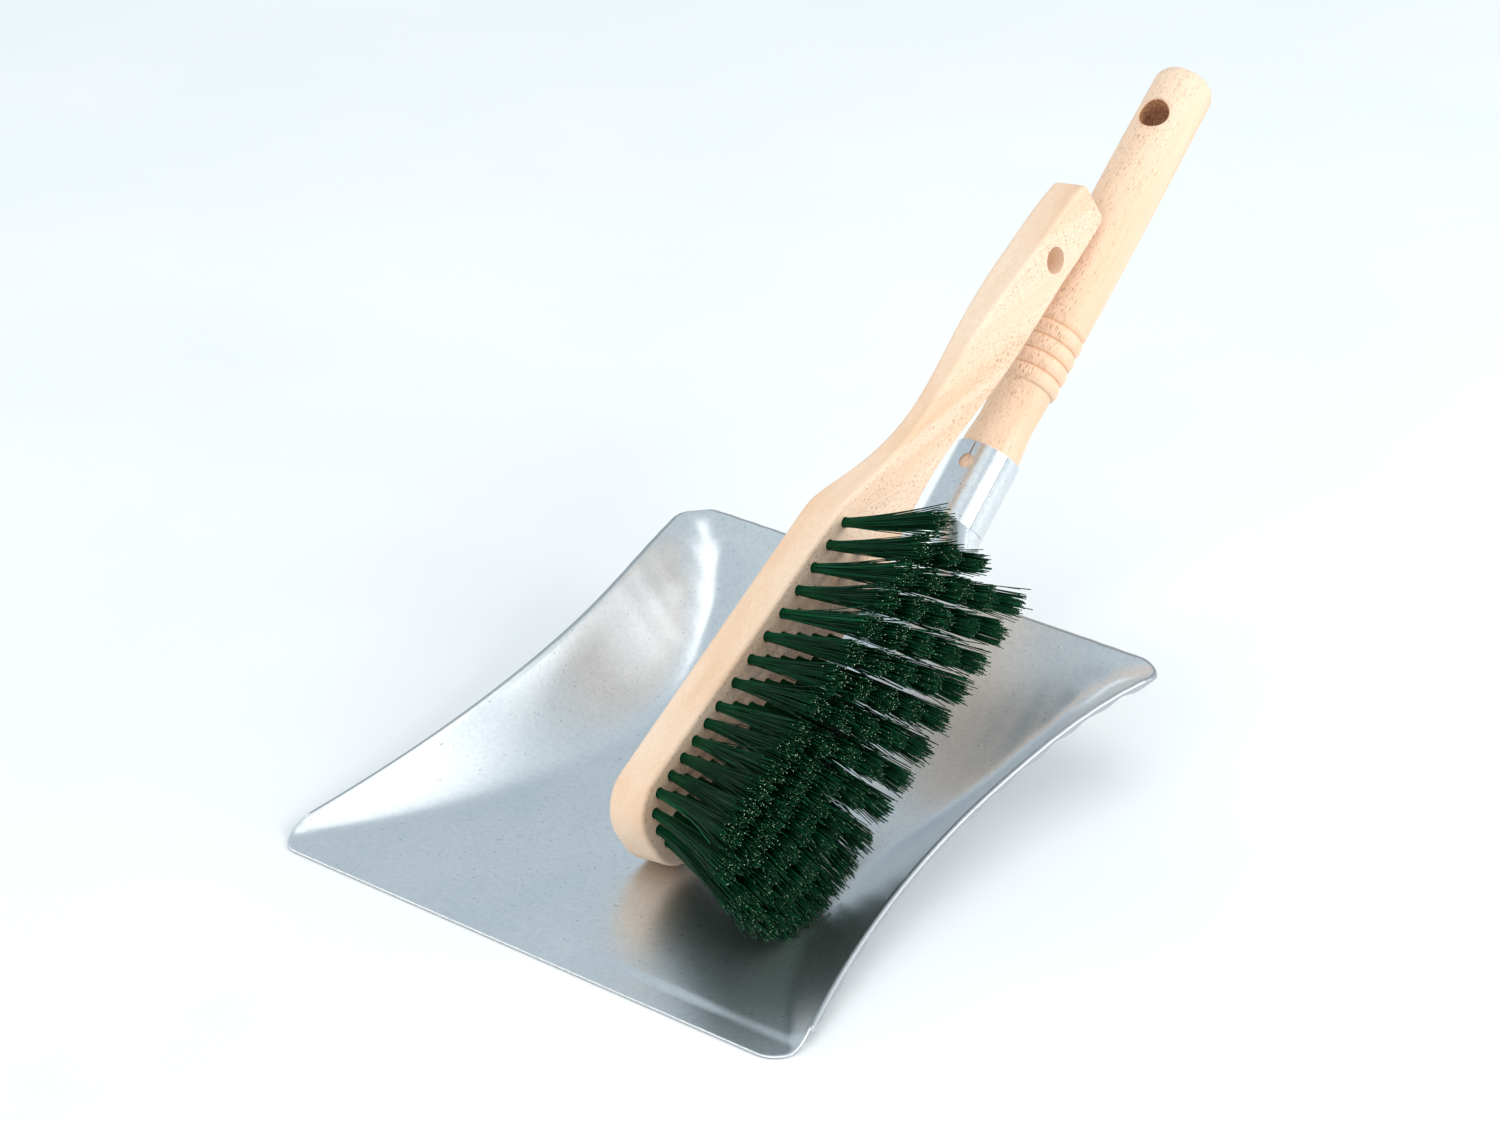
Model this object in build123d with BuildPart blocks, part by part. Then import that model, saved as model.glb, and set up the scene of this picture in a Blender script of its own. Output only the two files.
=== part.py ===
"""Dust pan and hand brush set: pressed steel pan, turned beech handle, beech brush with synthetic bristles.

Frame: millimetres, +Z up, +Y from the pan's mouth towards its handle, +X to the right seen from the mouth.
The origin is on the floor plane, in the middle of the pan's flat underside.
"""
from build123d import *
import math
import os

os.makedirs("parts", exist_ok=True)

# ---------------------------------------------------------------- pan sheet
pan_length = 223.0
front_half_width = 111.5
waist_control = 74.0           # Bezier control half width that pulls the sides in
back_half_width = 105.5
rim_height = 41.5              # top of the back wall above the floor
side_slope = 1.32              # the side walls' height: rim_height * (side_slope * t - side_bow * t * t)
side_bow = 0.26
side_curl = 1.3                # above 1, a side wall gets steeper towards its rim
crease_softness = 0.12
scoop_softness = 0.1
sheet = 0.8                    # thickness of the galvanised sheet
floor_skin = 0.7               # what is left of the sheet where its underside is trimmed flat
pan_centre = 95.0              # from the front edge to the frame's origin
crease_narrowest = 0.65        # where the side walls start, as a share of the half width
crease_narrowest_at = 0.58     # ... at this share of the length
crease_spread = 1.04
scoop_start = 0.62             # share of the length where the floor starts to sweep up
rib_height = 2.2               # shallow pressed rib over the socket's tongue
rib_width = 8.0
rib_start = 0.66               # shares of the length between which the rib rises
rib_run = 0.3
front_corner = 9.5
back_corner = 9.0
overhang = 0.03                # the surface is made a little larger and trimmed to the outline
trim_depth = 5.0
trim_height = 80.0

hem_width = 7.0                # margin folded flat against the outside of the walls
hem_wave = 0.9                 # the raw edge of the fold is wavy
hem_waves = 13
hem_start = 16.0               # the fold starts this far behind the front edge
hem_gap = 0.25
hem_points_count = 60
hem_tongue_clearance = 4.0

# ------------------------------------------------------- handle and socket
socket_rim = Vector(0, 168.3, 77.4)
handle_rise = 40.7             # degrees above the floor
socket_radius = 12.2
socket_straight = 30.0         # round part, before it is flattened into the tongue
tongue_half_width = 14.0
tongue_thickness = 2.0
tongue_reach = 46.0            # how far the tongue runs down the back wall
wood_gap = 0.05
punched_hole_radius = 2.9
punched_hole_down = 8.3
slit_width = 0.7
seam_angle = 62.8              # from the top of the tube towards +X
seam_span = 38.0
seam_step = 0.5

grip_radius = 11.6
neck_radius = 10.2
bead_radius = 12.0
bead_edge_radius = 11.3
groove_radius = 10.5
groove_half_width = 0.5
first_groove = 29.0
bead_pitch = 6.2
bead_count = 4
handle_length = 166.5
crown_radius = 9.2             # where the rounded end of the grip turns over
end_face_radius = 5.4
pan_hole_radius = 5.7
pan_hole_chamfer = 0.5
pan_hole_at = 143.0

# -------------------------------------------------------------------- brush
brush_origin = Vector(11.3, -38.7, 14.3)
brush_pitch = 28.5             # rise from the front of the head to the handle
brush_yaw = 1.6
brush_roll = 9.9               # how far the bristle side is turned up
brush_length = 302.5
head_half_width = 19.0
head_length = 138.0
head_corner = 16.0
block_thickness = 16.0
neck_half_width = 10.4
neck_at = 178.0
grip_half_width = 12.2
grip_at = 226.0
end_half_width = 9.2
neck_thickness = 9.0
end_thickness = 15.2
end_corner = 3.0
bristle_edge_round = 1.6
back_edge_round = 2.5
brush_hole_at = 272.5
brush_hole_radius = 5.0

row_count = 5
row_pitch = 6.55
column_count = 14
first_column = 14.8
close_pitch = 7.5              # between the columns at the front of the head
close_columns = 5
wide_pitch = 10.3              # between the other columns
tuft_radius = 1.85
tuft_hole_radius = 2.0
tuft_hole_depth = 9.0
root_depth = 7.0
tip_radius = 2.1
bristle_length = 52.0
row_flare = 1.1                # tips spread across the head by this share of the row's place
column_spread = 1.1975         # tips lie further apart along the head than the roots
spread_slope = -0.00553        # ... and most so in the lower rows
tip_shift = -23.1
shift_slope = 0.403
tip_clearance = 4.2            # lowest place of a tip's centre above the floor
free_height = 22.0             # tips that would be lower than this are pushed up by the floor
anchor_size = (3.2, 0.4, 1.6)
anchor_gap = 0.05
front_arc_bases = [(9.2, -9.2), (6.8, -3.3), (6.8, 3.3), (9.2, 9.2)]


# ------------------------------------------------------------ pan surface
def ramp(value, softness):
    """Zero below zero, equal to value above it, with a soft bend between."""
    return 0.5 * (value + math.sqrt(value * value + softness * softness))


def half_width(t):
    return (front_half_width * (1 - t) ** 2 + 2 * waist_control * t * (1 - t)
            + back_half_width * t * t)


def side_height(t):
    return rim_height * (side_slope * t - side_bow * t * t)


def rib_at(t):
    """Height of the pressed rib along the pan's centre line."""
    share = min(max((t - rib_start) / rib_run, 0.0), 1.0)
    return rib_height * share * share * (3 - 2 * share)


def pan_height(s, t):
    """Upper surface above the floor plane at share s of the half width and share t of the length."""
    crease = crease_narrowest + crease_spread * (t - crease_narrowest_at) ** 2
    crease = min(crease, 0.985)
    side = side_height(t) * ramp((abs(s) - crease) / (1 - crease), crease_softness) ** side_curl
    back = rim_height * ramp((t - scoop_start) / (1 - scoop_start), scoop_softness) ** 2
    rib = rib_at(t) * math.exp(-((s * half_width(t) / rib_width) ** 2))
    blend = rim_height * (1 - (1 - side / rim_height) * (1 - back / rim_height))
    return floor_skin + blend + rib


def pan_point(s, t):
    return Vector(s * half_width(t), t * pan_length - pan_centre, pan_height(s, t))


def pan_normal(s, t):
    step = 0.002
    along = pan_point(s, t + step) - pan_point(s, t - step)
    across = pan_point(s + step, t) - pan_point(s - step, t)
    return across.cross(along).normalized()


def pan_surface(depth):
    """The pan's surface, moved by depth along its normal to the outside."""
    across = 44
    lengthwise = 36
    rows = []
    for j in range(lengthwise + 1):
        t = -overhang + (1 + 2 * overhang) * j / lengthwise
        row = []
        for i in range(across + 1):
            s = (1 + overhang) * (2 * i / across - 1)
            row.append(pan_point(s, t) - pan_normal(s, t) * depth)
        rows.append(row)
    return Face.make_surface_from_array_of_points(rows, tol=0.01, max_deg=3)


def side_curve_points(side):
    front = (side * front_half_width, -pan_centre)
    waist = (side * waist_control, pan_length / 2 - pan_centre)
    back = (side * back_half_width, pan_length - pan_centre)
    return front, waist, back


with BuildSketch(Plane.XY.offset(-trim_depth)) as pan_outline:
    with BuildLine():
        right_front, right_waist, right_back = side_curve_points(1)
        left_front, left_waist, left_back = side_curve_points(-1)
        Bezier(right_front, right_waist, right_back)
        Line(right_back, left_back)
        Bezier(left_back, left_waist, left_front)
        Line(left_front, right_front)
    make_face()
    fillet(pan_outline.vertices().group_by(Axis.Y)[0], front_corner)
    fillet(pan_outline.vertices().group_by(Axis.Y)[-1], back_corner)

with BuildPart() as pan_sheet:
    thicken(pan_surface(0), amount=sheet)
    extrude(pan_outline.sketch, amount=trim_height, mode=Mode.INTERSECT)
    split(bisect_by=Plane.XY, keep=Keep.TOP)
pan_sheet.part.label = "pan_sheet"
export_step(pan_sheet.part, "parts/pan_sheet.step")


# ---------------------------------------------------------- folded hems
def hem_inner_point(t):
    """Raw edge of the fold along the right side, in plan."""
    width = hem_width + hem_wave * math.sin(2 * math.pi * hem_waves * t)
    return (half_width(t) - width, t * pan_length - pan_centre)


hem_front = hem_start / pan_length
hem_back = 1 - hem_width / pan_length
hem_points = [
    hem_inner_point(hem_front + (hem_back - hem_front) * k / hem_points_count)
    for k in range(hem_points_count + 1)
]
hem_end = tongue_half_width + hem_tongue_clearance

with BuildSketch(Plane.XY.offset(-trim_depth)) as hem_outline:
    with BuildLine():
        raw_edge = Spline(*hem_points)
        back_edge = Line(raw_edge @ 1, (hem_end, (raw_edge @ 1).Y))
        Polyline(
            back_edge @ 1,
            (hem_end, pan_length),
            (front_half_width * 2, pan_length),
            (front_half_width * 2, (raw_edge @ 0).Y),
            raw_edge @ 0,
        )
    make_face()

with BuildPart() as hem_right:
    thicken(pan_surface(sheet + hem_gap), amount=sheet)
    extrude(pan_outline.sketch, amount=trim_height, mode=Mode.INTERSECT)
    extrude(hem_outline.sketch, amount=trim_height, mode=Mode.INTERSECT)
    split(bisect_by=Plane.XY, keep=Keep.TOP)
hem_right.part.label = "hem_right"
export_step(hem_right.part, "parts/hem_right.step")

with BuildPart() as hem_left:
    mirror(hem_right.part, about=Plane.YZ)
hem_left.part.label = "hem_left"
export_step(hem_left.part, "parts/hem_left.step")

# --------------------------------------------------------------- socket
rise = math.radians(handle_rise)
handle_axis = Vector(0, math.cos(rise), math.sin(rise))
handle_top = Vector(0, -math.sin(rise), math.cos(rise))
rim_plane = Plane(origin=socket_rim, x_dir=handle_top, z_dir=handle_axis)
bottom_plane = rim_plane.offset(-socket_straight)
bore_radius = socket_radius - sheet


def wall_point(y_share, depth):
    point = pan_point(0, y_share)
    step = 0.002
    along = (pan_point(0, y_share + step) - pan_point(0, y_share - step)).normalized()
    outward = Vector(1, 0, 0).cross(along)
    flat = Vector(0, point.Y, point.Z - rib_at(y_share))
    return flat - outward * depth


tongue_top_share = 1 - 1.0 / pan_length
tongue_low_share = 1 - tongue_reach / pan_length
tongue_steps = 8
tongue_shares = [
    tongue_low_share + (tongue_top_share - tongue_low_share) * k / tongue_steps
    for k in range(tongue_steps + 1)
]
near_depth = sheet + hem_gap
far_depth = near_depth + tongue_thickness
near_points = [wall_point(t, near_depth) for t in tongue_shares]
far_points = [wall_point(t, far_depth) for t in tongue_shares]
tongue_end = (near_points[-1] + far_points[-1]) * 0.5
tongue_direction = (near_points[-1] - near_points[-2]).normalized()
tongue_plane = Plane(origin=tongue_end, x_dir=(1, 0, 0), z_dir=tongue_direction)
flat_rim_plane = Plane(origin=bottom_plane.origin, x_dir=(1, 0, 0), z_dir=handle_axis)

with BuildPart() as handle_socket:
    # the round tube
    with BuildSketch(bottom_plane):
        Circle(socket_radius)
    extrude(amount=socket_straight)
    # the tube flattened into the tongue's width
    with BuildSketch(tongue_plane):
        Ellipse(tongue_half_width, tongue_thickness / 2)
    with BuildSketch(flat_rim_plane):
        Circle(socket_radius)
    loft()
    # the tongue against the outside of the back wall
    with BuildSketch(Plane.YZ):
        with BuildLine():
            near_line = Spline(*[(p.Y, p.Z) for p in near_points])
            far_line = Spline(*[(p.Y, p.Z) for p in far_points])
            Line(near_line @ 0, far_line @ 0)
            Line(near_line @ 1, far_line @ 1)
        make_face()
    extrude(amount=tongue_half_width, both=True)
    # the hollow
    with BuildSketch(bottom_plane):
        Circle(bore_radius)
    extrude(amount=socket_straight, mode=Mode.SUBTRACT)
    with BuildSketch(tongue_plane):
        Ellipse(tongue_half_width - 1.2, 0.25)
    with BuildSketch(flat_rim_plane):
        Circle(bore_radius)
    loft(mode=Mode.SUBTRACT)
    # the overlapping edge of the rolled sheet
    with BuildSketch(bottom_plane):
        with BuildLine():
            inner_arc = CenterArc((0, 0), bore_radius + 0.2, seam_angle, seam_span)
            outer_arc = CenterArc((0, 0), socket_radius + seam_step, seam_angle, seam_span)
            Line(inner_arc @ 0, outer_arc @ 0)
            Line(inner_arc @ 1, outer_arc @ 1)
        make_face()
    extrude(amount=socket_straight)
    # the punched fixing hole and the slit above it
    hole_centre = socket_rim - handle_axis * punched_hole_down
    with BuildSketch(Plane(origin=hole_centre, x_dir=(1, 0, 0), z_dir=handle_top)):
        Circle(punched_hole_radius)
        with Locations((0, punched_hole_down / 2)):
            Rectangle(slit_width, punched_hole_down)
    extrude(amount=socket_radius + 2, mode=Mode.SUBTRACT)
handle_socket.part.label = "handle_socket"
export_step(handle_socket.part, "parts/handle_socket.step")

# ------------------------------------------------------ turned pan handle
profile_plane = Plane(origin=socket_rim, x_dir=(1, 0, 0), z_dir=Vector(1, 0, 0).cross(handle_axis))
wood_radius = bore_radius - wood_gap
last_groove = first_groove + bead_pitch * bead_count

with BuildPart() as pan_handle:
    with BuildSketch(profile_plane):
        with BuildLine():
            inner_end = Line((0, -socket_straight + 1), (wood_radius - 1.2, -socket_straight + 1))
            lead_in = Line(inner_end @ 1, (wood_radius, -socket_straight + 2.2))
            seated = Line(lead_in @ 1, (wood_radius, -0.4))
            shoulder = Line(seated @ 1, (wood_radius - 0.15, 0.6))
            neck = Spline(
                shoulder @ 1,
                (wood_radius - 0.2, 3.5),
                (neck_radius, 13.0),
                (neck_radius + 0.2, 22.0),
                (groove_radius, first_groove),
            )
            for k in range(bead_count):
                low = first_groove + bead_pitch * k
                high = low + bead_pitch
                Line((groove_radius, low), (bead_edge_radius, low + groove_half_width))
                ThreePointArc(
                    (bead_edge_radius, low + groove_half_width),
                    (bead_radius, low + bead_pitch / 2),
                    (bead_edge_radius, high - groove_half_width),
                )
                Line((bead_edge_radius, high - groove_half_width), (groove_radius, high))
            step_up = ThreePointArc(
                (groove_radius, last_groove),
                (grip_radius - 0.25, last_groove + 0.9),
                (grip_radius, last_groove + 2.6),
            )
            grip = ThreePointArc(
                step_up @ 1,
                (grip_radius + 0.3, 0.5 * (last_groove + handle_length)),
                (grip_radius - 0.2, handle_length - 8.0),
            )
            crown = ThreePointArc(
                grip @ 1,
                (crown_radius, handle_length - 2.4),
                (end_face_radius, handle_length - 0.6),
            )
            tip = Line(crown @ 1, (0, handle_length))
            Line(tip @ 1, inner_end @ 0)
        make_face()
    revolve(axis=Axis(socket_rim, handle_axis))
    hole_centre = socket_rim + handle_axis * pan_hole_at
    with BuildSketch(Plane(origin=hole_centre, x_dir=(1, 0, 0), z_dir=handle_top)):
        Circle(pan_hole_radius)
    extrude(amount=grip_radius * 2, both=True, mode=Mode.SUBTRACT)
    hole_edges = pan_handle.faces().filter_by(GeomType.CYLINDER).sort_by(
        lambda face: abs(face.area - 2 * math.pi * pan_hole_radius * 2 * grip_radius)
    )[0].edges()
    chamfer(hole_edges.filter_by(lambda edge: edge.length > 20), pan_hole_chamfer)
pan_handle.part.label = "pan_handle"
export_step(pan_handle.part, "parts/pan_handle.step")


# ------------------------------------------------------------ brush block
pitch = math.radians(brush_pitch)
yaw = math.radians(brush_yaw)
brush_along = Vector(-math.sin(yaw) * math.cos(pitch), math.cos(yaw) * math.cos(pitch), math.sin(pitch))
brush_level = Vector(brush_along.Y, -brush_along.X, 0).normalized()
brush_out = brush_level.rotate(Axis((0, 0, 0), brush_along), -brush_roll)
brush_plane = Plane(origin=brush_origin, x_dir=brush_along, z_dir=brush_out)
side_plane = Plane(origin=brush_origin, x_dir=brush_along, z_dir=brush_plane.y_dir * -1)


def outline_half(side):
    """The points of one side of the block's outline, from the head to the handle's end."""
    return [
        (head_length, side * head_half_width),
        (neck_at - 22.0, side * (neck_half_width + 3.6)),
        (neck_at, side * neck_half_width),
        (grip_at, side * grip_half_width),
        (brush_hole_at, side * (end_half_width + 1.4)),
        (brush_length, side * end_half_width),
    ]


with BuildPart() as brush_block:
    # outline seen from the bristle side
    with BuildSketch(brush_plane) as block_outline:
        with BuildLine():
            upper_side = Spline(*outline_half(1), tangents=[(1, -0.25), (1, -0.12)])
            lower_side = Spline(*outline_half(-1), tangents=[(1, 0.25), (1, 0.12)])
            Line(upper_side @ 1, lower_side @ 1)
            upper_edge = Line(upper_side @ 0, (0, head_half_width))
            front_edge = Line(upper_edge @ 1, (0, -head_half_width))
            Line(front_edge @ 1, lower_side @ 0)
        make_face()
        along_block = Axis((0, 0, 0), (1, 0, 0))
        fillet(block_outline.sketch_local.vertices().group_by(along_block)[0], head_corner)
        fillet(block_outline.sketch_local.vertices().group_by(along_block)[-1], end_corner)
    extrude(amount=-block_thickness)
    # side view: the back dips into a thin neck and swells again towards the end
    with BuildSketch(side_plane):
        with BuildLine():
            back_line = Spline(
                (head_length - 8, -block_thickness),
                (neck_at - 18, -neck_thickness - 3.2),
                (neck_at + 12, -neck_thickness),
                (brush_hole_at - 14, -end_thickness + 0.6),
                (brush_length + 2, -end_thickness + 0.4),
                tangents=[(1, 0), (1, 0)],
            )
            Polyline(
                back_line @ 1,
                (brush_length + 2, 0),
                (-2, 0),
                (-2, -block_thickness),
                back_line @ 0,
            )
        make_face()
    extrude(amount=2 * head_half_width, both=True, mode=Mode.INTERSECT)
    # softened edges, rounder on the back
    bristle_face = brush_block.faces().filter_by(brush_plane).sort_by(Axis(brush_origin, brush_out))[-1]
    fillet(bristle_face.edges(), bristle_edge_round)
    back_edges = brush_block.edges().filter_by(
        lambda edge: brush_plane.to_local_coords(edge.center()).Z < -0.5 * block_thickness
    )
    fillet(back_edges, back_edge_round)
    # hanging hole
    with BuildSketch(brush_plane):
        with Locations((brush_hole_at, 0)):
            Circle(brush_hole_radius)
    extrude(amount=-block_thickness - 1, mode=Mode.SUBTRACT)


# ----------------------------------------------------------------- tufts
def column_place(column):
    """Distance of a column of tufts from the front of the head."""
    close = min(column, close_columns)
    return first_column + close_pitch * close + wide_pitch * (column - close)


def column_bases(column):
    """Every second row is set half a pitch back; the last column has none of those."""
    bases = []
    for row in range(row_count):
        across = (row - (row_count - 1) / 2) * row_pitch
        if row % 2 == 0:
            bases.append((column_place(column), across))
        elif column < column_count - 1:
            bases.append(((column_place(column) + column_place(column + 1)) / 2, across))
    return bases


tuft_sets = {"tufts_front_arc": front_arc_bases}
for column in range(column_count):
    tuft_sets[f"tufts_column_{column + 1:02d}"] = column_bases(column)


def tip_point(along, across):
    """Centre of a tuft's tip: it flares outwards, and the pan's floor pushes the lowest ones up."""
    tip_along = along * (column_spread + spread_slope * across) + tip_shift + shift_slope * across
    tip_across = across * (1 + row_flare)
    free_tip = brush_plane.from_local_coords((tip_along, tip_across, bristle_length))
    if free_tip.Z >= free_height:
        return free_tip
    lowest = brush_plane.from_local_coords(
        (tip_along, -(row_count - 1) / 2 * row_pitch * (1 + row_flare), bristle_length)
    )
    lowest_z = min(lowest.Z, tip_clearance)
    share = (free_tip.Z - lowest_z) / (free_height - lowest_z)
    return Vector(free_tip.X, free_tip.Y, tip_clearance + share * (free_height - tip_clearance))


# blind holes for the tufts
with BuildPart() as drilled_block:
    add(brush_block.part)
    with BuildSketch(brush_plane):
        for bases in tuft_sets.values():
            with Locations(*bases):
                Circle(tuft_hole_radius)
    extrude(amount=-tuft_hole_depth, mode=Mode.SUBTRACT)
drilled_block.part.label = "brush_block"
export_step(drilled_block.part, "parts/brush_block.step")

for set_name, bases in tuft_sets.items():
    with BuildPart() as tufts:
        for along, across in bases:
            base = brush_plane.from_local_coords((along, across, 0))
            tip = tip_point(along, across)
            lean = (tip - base).normalized()
            with BuildSketch(Plane(origin=base, x_dir=brush_along, z_dir=brush_out)):
                Circle(tuft_radius)
            extrude(amount=-root_depth)
            with BuildSketch(Plane(origin=base, x_dir=brush_along, z_dir=brush_out)):
                Circle(tuft_radius)
            with BuildSketch(Plane(origin=tip, x_dir=lean.cross(brush_plane.y_dir), z_dir=lean)):
                Circle(tip_radius)
            loft()
    tufts.part.label = set_name
    export_step(tufts.part, f"parts/{set_name}.step")
    with BuildPart() as anchors:
        for along, across in bases:
            depth = root_depth + anchor_gap + anchor_size[2] / 2
            middle = brush_plane.from_local_coords((along, across, -depth))
            with Locations(Plane(origin=middle, x_dir=brush_along, z_dir=brush_out)):
                Box(*anchor_size)
    anchors.part.label = set_name.replace("tufts", "anchors")
    export_step(anchors.part, f"parts/{anchors.part.label}.step")
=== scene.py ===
"""Dust pan and hand brush: pressed galvanised pan, turned beech handle, beech brush with green bristles."""
import math

import bpy
import numpy as np
from mathutils import Matrix, Vector


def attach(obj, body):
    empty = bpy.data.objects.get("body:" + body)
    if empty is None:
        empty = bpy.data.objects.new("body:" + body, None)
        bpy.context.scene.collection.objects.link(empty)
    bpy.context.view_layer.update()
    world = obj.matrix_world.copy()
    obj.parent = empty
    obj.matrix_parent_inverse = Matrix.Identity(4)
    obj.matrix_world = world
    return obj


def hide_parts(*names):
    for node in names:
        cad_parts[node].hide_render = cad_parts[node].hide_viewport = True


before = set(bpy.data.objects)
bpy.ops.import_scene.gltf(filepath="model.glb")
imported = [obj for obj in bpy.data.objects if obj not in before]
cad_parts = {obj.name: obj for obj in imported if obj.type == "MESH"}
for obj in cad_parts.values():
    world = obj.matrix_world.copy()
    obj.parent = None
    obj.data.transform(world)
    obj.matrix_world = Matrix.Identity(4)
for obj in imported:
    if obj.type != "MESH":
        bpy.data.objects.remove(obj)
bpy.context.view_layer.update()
MM = 0.001

# ------------------------------------------------------------ shape numbers, in millimetres, as in the CAD
# pan seen from above: its side edges are curves drawn in towards a waist
PAN_LENGTH = 223.0
PAN_CENTRE = 95.0                # from the front edge back to the frame's origin
FRONT_HALF_WIDTH = 111.5
WAIST_CONTROL = 74.0             # middle control point of the side edge's curve
BACK_HALF_WIDTH = 105.5
FRONT_CORNER = 9.5
BACK_CORNER = 9.0

# pan surface: t runs from 0 at the front to 1 at the back, s from -1 to 1 across the pan
SHEET = 0.7
FLOOR_TOP = 0.7
RIM_HEIGHT = 41.5
CREASE_AT = 0.65                 # s where the floor turns up into a side wall
CREASE_BOW = 1.04
CREASE_MIDDLE = 0.58             # t where the crease comes nearest the centre line
CREASE_LIMIT = 0.985
CREASE_SOFTNESS = 0.085
SIDE_SLOPE = 1.32
SIDE_BOW = 0.26
SIDE_CURL = 1.3
SCOOP_START = 0.62               # t where the floor starts to curve up into the back wall
SCOOP_SOFTNESS = 0.1
RIB_START = 0.66
RIB_RUN = 0.3
RIB_HEIGHT = 2.2
RIB_WIDTH = 8.0

# fine shape of the sheet, which only the visual model has
LIP_DEPTH = 11.5                 # faint bend behind the front edge
LIP_BEND = 4.0
LIP_RISE = 0.5
RIPPLE = 0.11                    # marks left by the press near the back corners
RIPPLE_PITCH = 11.0
WARP = 0.07
RIM_ROUND = SHEET / 2

# hem curled over the side and back rims
CURL_RADIUS = 1.1
HEM_DROP = 1.0                   # how far it hangs below the curl
HEM_LEAST_DROP = 0.4
HEM_WAVE = 0.75                  # height of the waves in its raw edge
HEM_WAVES = 13                   # waves in one pan length
HEM_START = 16.0                 # from the front edge
HEM_FADE = 16.0                  # run over which it grows to its full drop, less a lead at its front end
HEM_FADE_LEAD = 3.0
HEM_FLARE = 0.1
HEM_FLARE_WAVE = 0.15
HEM_TONGUE_CLEARANCE = 18.0      # from the centre line, beside the socket's tongue
HEM_FLOOR_GAP = 2.5

# pan handle
SOCKET_RIM = Vector((0, 168.3, 77.4))
HANDLE_RISE = math.radians(40.7)
HANDLE_LENGTH = 166.5
PAN_HOLE_AT = 143.0
PAN_HOLE_RADIUS = 5.7

# brush, and how it lies in the pan
BRUSH_ORIGIN = Vector((11.3, -38.7, 14.3))
BRUSH_PITCH = math.radians(28.5)
BRUSH_YAW = math.radians(1.6)
BRUSH_ROLL = math.radians(9.9)
BRUSH_LENGTH = 302.5
BRUSH_HOLE_AT = 272.5
BRUSH_HOLE_RADIUS = 5.0

# tufts: a staggered lattice of rows and columns that is closer near the front end
ROW_COUNT = 5
ROW_PITCH = 6.55
COLUMN_COUNT = 14
FIRST_COLUMN = 14.8
CLOSE_PITCH = 7.5
CLOSE_COLUMNS = 5
WIDE_PITCH = 10.3
FRONT_ARC = [(9.2, -9.2), (6.8, -3.3), (6.8, 3.3), (9.2, 9.2)]

# where the tips go: they fan out along and across the brush, and the pan's floor holds the lowest ones up
BRISTLE_LENGTH = 52.0
ROW_FLARE = 1.1
COLUMN_SPREAD = 1.1975
SPREAD_SLOPE = -0.00553
TIP_SHIFT = -23.1
SHIFT_SLOPE = 0.403
TIP_CLEARANCE = 4.2
FREE_HEIGHT = 22.0

# filaments of one tuft
FILAMENTS = 104
FILAMENT_RADIUS = 0.2
FILAMENT_POINTS = 10
FILAMENT_SIDES = 3
ROOT_DEPTH = 6.4
BASE_RADIUS = 1.62
TIP_SPREAD = 4.5
TIP_DOME = 1.3                   # how much shorter the outer filaments are
LOOSE_SHARE = 0.06               # share of filaments that stray from the bundle
FIRST_SEED = 41

# ------------------------------------------------------------ axes
handle_axis = Vector((0, math.cos(HANDLE_RISE), math.sin(HANDLE_RISE)))
handle_top = Vector((0, -math.sin(HANDLE_RISE), math.cos(HANDLE_RISE)))
brush_along = Vector((
    -math.sin(BRUSH_YAW) * math.cos(BRUSH_PITCH),
    math.cos(BRUSH_YAW) * math.cos(BRUSH_PITCH),
    math.sin(BRUSH_PITCH),
))
brush_level = Vector((brush_along.y, -brush_along.x, 0)).normalized()
brush_out = Matrix.Rotation(-BRUSH_ROLL, 3, brush_along) @ brush_level
brush_up = brush_out.cross(brush_along)


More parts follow.
